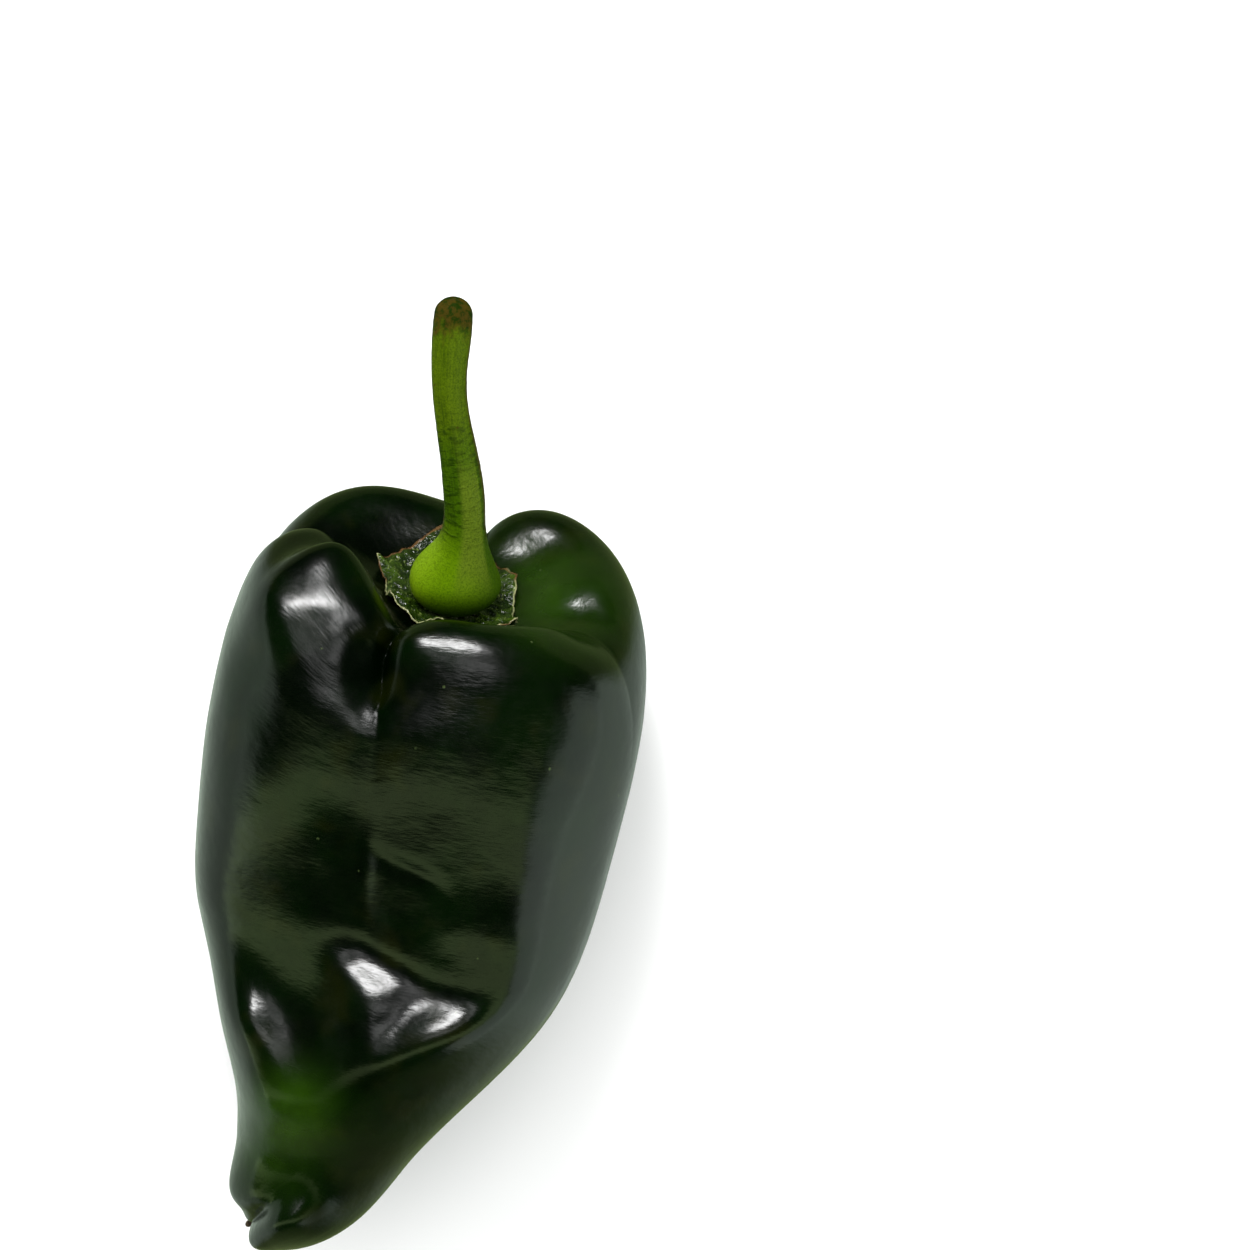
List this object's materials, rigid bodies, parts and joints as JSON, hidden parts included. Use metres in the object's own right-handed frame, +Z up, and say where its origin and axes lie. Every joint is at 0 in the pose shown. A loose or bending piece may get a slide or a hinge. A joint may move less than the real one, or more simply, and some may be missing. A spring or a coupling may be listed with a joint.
{
  "type": "poblano pepper",
  "caption": "Whole fresh poblano pepper, a tapering lobed dark green pod with a sunken shoulder, calyx and cut stem, lying on its side.",
  "frame": {"origin": "on the resting surface, below the middle of the bounding box", "axes": "+Z up; +Y along the pod towards the cut end of the stem; +X across the pod"},
  "size_m": [0.0751, 0.1584, 0.0629],
  "materials": {
    "pod_skin": "smooth waxy skin, glossy, stands in for the pod's flesh and skin",
    "calyx_green": "thin leathery leaf, satin",
    "stem_green": "fibrous green stalk, satin",
    "dried_scar": "dry brown plant tissue, matte"
  },
  "bodies": {
    "root": {"pod": "pod_skin", "calyx": "calyx_green", "stem": "stem_green", "style_scar": "dried_scar"}
  },
  "joints": []
}
